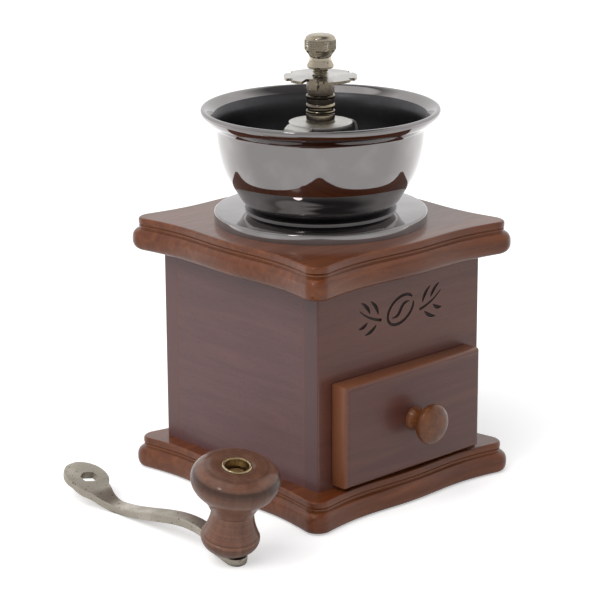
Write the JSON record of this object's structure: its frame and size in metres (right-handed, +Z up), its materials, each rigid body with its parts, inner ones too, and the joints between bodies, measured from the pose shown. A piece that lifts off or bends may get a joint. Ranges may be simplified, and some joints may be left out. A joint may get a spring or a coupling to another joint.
{
  "type": "burr coffee grinder",
  "caption": "Wooden box hand coffee grinder with drawer, open metal hopper bowl, conical burr mill and detached S-shaped crank with a turned wooden knob.",
  "frame": {"origin": "centre of the box on the standing surface, straight under the mill shaft", "axes": "+Z up along the mill shaft, -Y towards the drawer, -X towards the side where the crank lies"},
  "size_m": [0.1878, 0.1451, 0.2051],
  "materials": {
    "stained_wood": "walnut-stained beech under satin lacquer",
    "raw_wood": "unfinished plywood and beech, hidden inside",
    "felt_pad": "thin pressed felt",
    "black_nickel": "black-nickel plated spun steel, mirror polish",
    "aged_nickel": "antiqued nickel plate, warm grey with darker recesses",
    "cast_iron": "as-cast iron, matt",
    "zinc_screw": "zinc-plated steel",
    "spring_steel": "oiled spring steel",
    "shaft_steel": "turned steel with an antique nickel thread",
    "eyelet_brass": "stamped brass, slightly tarnished"
  },
  "bodies": {
    "housing": {"base_pad": "felt_pad", "base_plate": "stained_wood", "front_board": "stained_wood", "back_board": "stained_wood", "left_side_board": "stained_wood", "right_side_board": "stained_wood", "top_plate": "stained_wood", "left_drawer_guide": "raw_wood", "right_drawer_guide": "raw_wood", "base_screws": "zinc_screw", "top_dowels": "raw_wood", "mill_housing": "cast_iron", "housing_screws": "zinc_screw", "outer_burr": "cast_iron", "outer_burr_screws": "zinc_screw", "bowl_collar": "black_nickel", "hopper_bowl": "black_nickel", "bridge_bracket": "aged_nickel", "bridge_screws": "zinc_screw", "shaft_bush": "aged_nickel"},
    "adjuster": {"thrust_washer": "aged_nickel", "adjusting_nut": "aged_nickel", "lock_disc": "aged_nickel", "adjusting_spring": "spring_steel"},
    "spring_seat": {"spring_seat": "spring_steel"},
    "shaft": {"burr_shaft": "shaft_steel", "inner_burr": "cast_iron", "burr_washer": "zinc_screw", "burr_nut": "zinc_screw"},
    "cap_nut": {"cap_nut": "aged_nickel"},
    "crank": {"crank_arm": "aged_nickel", "knob_rivet": "zinc_screw", "knob_washer": "zinc_screw"},
    "crank_knob": {"crank_knob": "stained_wood", "knob_eyelet": "eyelet_brass"},
    "drawer": {"drawer_front": "stained_wood", "drawer_left_side": "raw_wood", "drawer_right_side": "raw_wood", "drawer_back": "raw_wood", "drawer_bottom": "raw_wood", "drawer_knob": "stained_wood", "drawer_knob_screw": "zinc_screw"}
  },
  "joints": [
    {"name": "drawer_slide", "type": "slide", "parent": "housing", "child": "drawer", "axis": [0, -1, 0], "range_m": [0, 0.07]},
    {"name": "shaft_spin", "type": "hinge", "parent": "housing", "child": "adjuster", "pos_m": [0, 0, 0.17], "axis": [0, 0, 1], "continuous": true},
    {"name": "burr_lift", "type": "slide", "parent": "adjuster", "child": "spring_seat", "axis": [0, 0, 1], "range_m": [-0.00125, 0.00075], "deforming": ["adjusting_spring"]},
    {"name": "adjust_turn", "type": "hinge", "parent": "spring_seat", "child": "shaft", "pos_m": [0, 0, 0.14], "axis": [0, 0, 1], "range_deg": [-360, 216]},
    {"name": "cap_nut_off", "type": "slide", "parent": "shaft", "child": "cap_nut", "axis": [0, 0, 1], "range_m": [0, 0.02]},
    {"name": "crank_pick_up", "type": "slide", "parent": "housing", "child": "crank", "axis": [0, 0, 1], "range_m": [0, 0.1]},
    {"name": "crank_knob_spin", "type": "hinge", "parent": "crank", "child": "crank_knob", "pos_m": [-0.1049, -0.0556, 0.00595], "axis": [-0.0593, -0.2093, 0.9761], "continuous": true}
  ],
  "couplings": [
    {"joint": "adjust_turn", "follows": "burr_lift", "rad_per_m": 5026.5}
  ]
}
